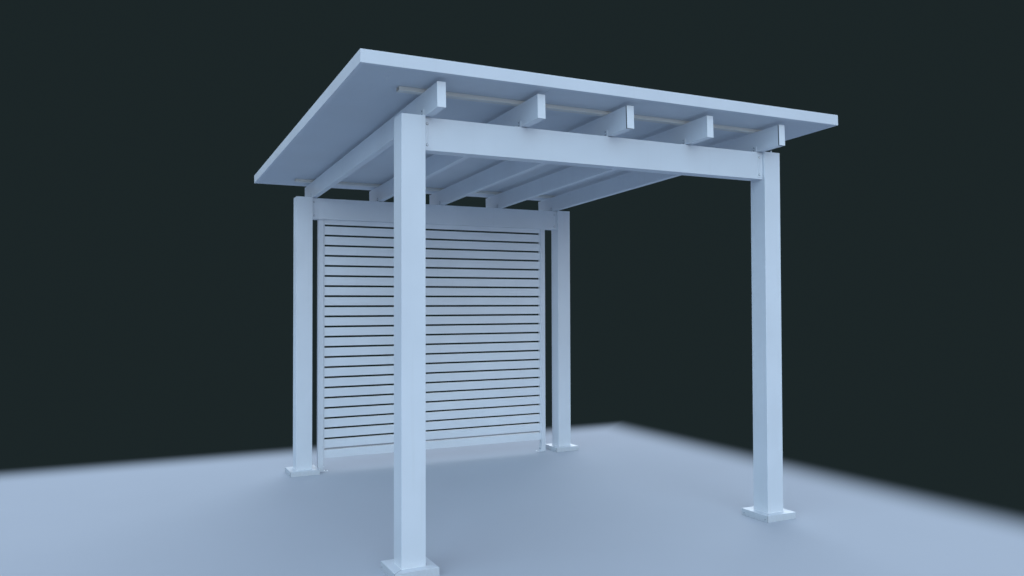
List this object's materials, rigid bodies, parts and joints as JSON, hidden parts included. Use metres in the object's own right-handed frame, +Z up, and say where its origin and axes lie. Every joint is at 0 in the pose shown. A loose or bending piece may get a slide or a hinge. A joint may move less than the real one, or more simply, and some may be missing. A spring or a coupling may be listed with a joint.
{
  "type": "patio pergola",
  "caption": "Free-standing lean-to patio pergola with square posts, beams, rafters, a flat insulated panel roof and a slatted rear screen.",
  "frame": {"origin": "on the ground, under the middle of the roof's outline", "axes": "+X to the right seen from the high front side, +Y to the low rear side with the slatted screen, +Z up"},
  "size_m": [3.658, 3.9148, 3.0378],
  "materials": {
    "frame": "satin white powder coat",
    "trim": "satin white powder coat",
    "brackets": "satin white powder coat",
    "roof_panels": "satin white coated sheet",
    "fascia": "satin white coated channel",
    "screen": "satin white powder coat"
  },
  "bodies": {
    "root": {"base_cover_front_left": "trim", "base_cover_front_right": "trim", "base_cover_rear_left": "trim", "base_cover_rear_right": "trim", "base_plates": "brackets", "fascia_front": "fascia", "fascia_left": "fascia", "fascia_rear": "fascia", "fascia_right": "fascia", "front_beam": "frame", "front_beam_angles": "brackets", "post_cap_front_left": "trim", "post_cap_front_right": "trim", "post_cap_rear_left": "trim", "post_cap_rear_right": "trim", "post_front_left": "frame", "post_front_right": "frame", "post_rear_left": "frame", "post_rear_right": "frame", "purlin_front": "frame", "purlin_rear": "frame", "rafter_1": "frame", "rafter_2": "frame", "rafter_3": "frame", "rafter_4": "frame", "rafter_5": "frame", "rafter_clips_front": "brackets", "rafter_clips_rear": "brackets", "rafter_end_caps_front": "trim", "rafter_end_caps_rear": "trim", "rear_beam": "frame", "rear_beam_angles": "brackets", "roof_panel_1": "roof_panels", "roof_panel_2": "roof_panels", "roof_panel_3": "roof_panels", "screen_feet": "screen", "screen_slats": "screen", "screen_stile_left": "screen", "screen_stile_right": "screen", "screen_tracks": "screen"}
  },
  "joints": []
}
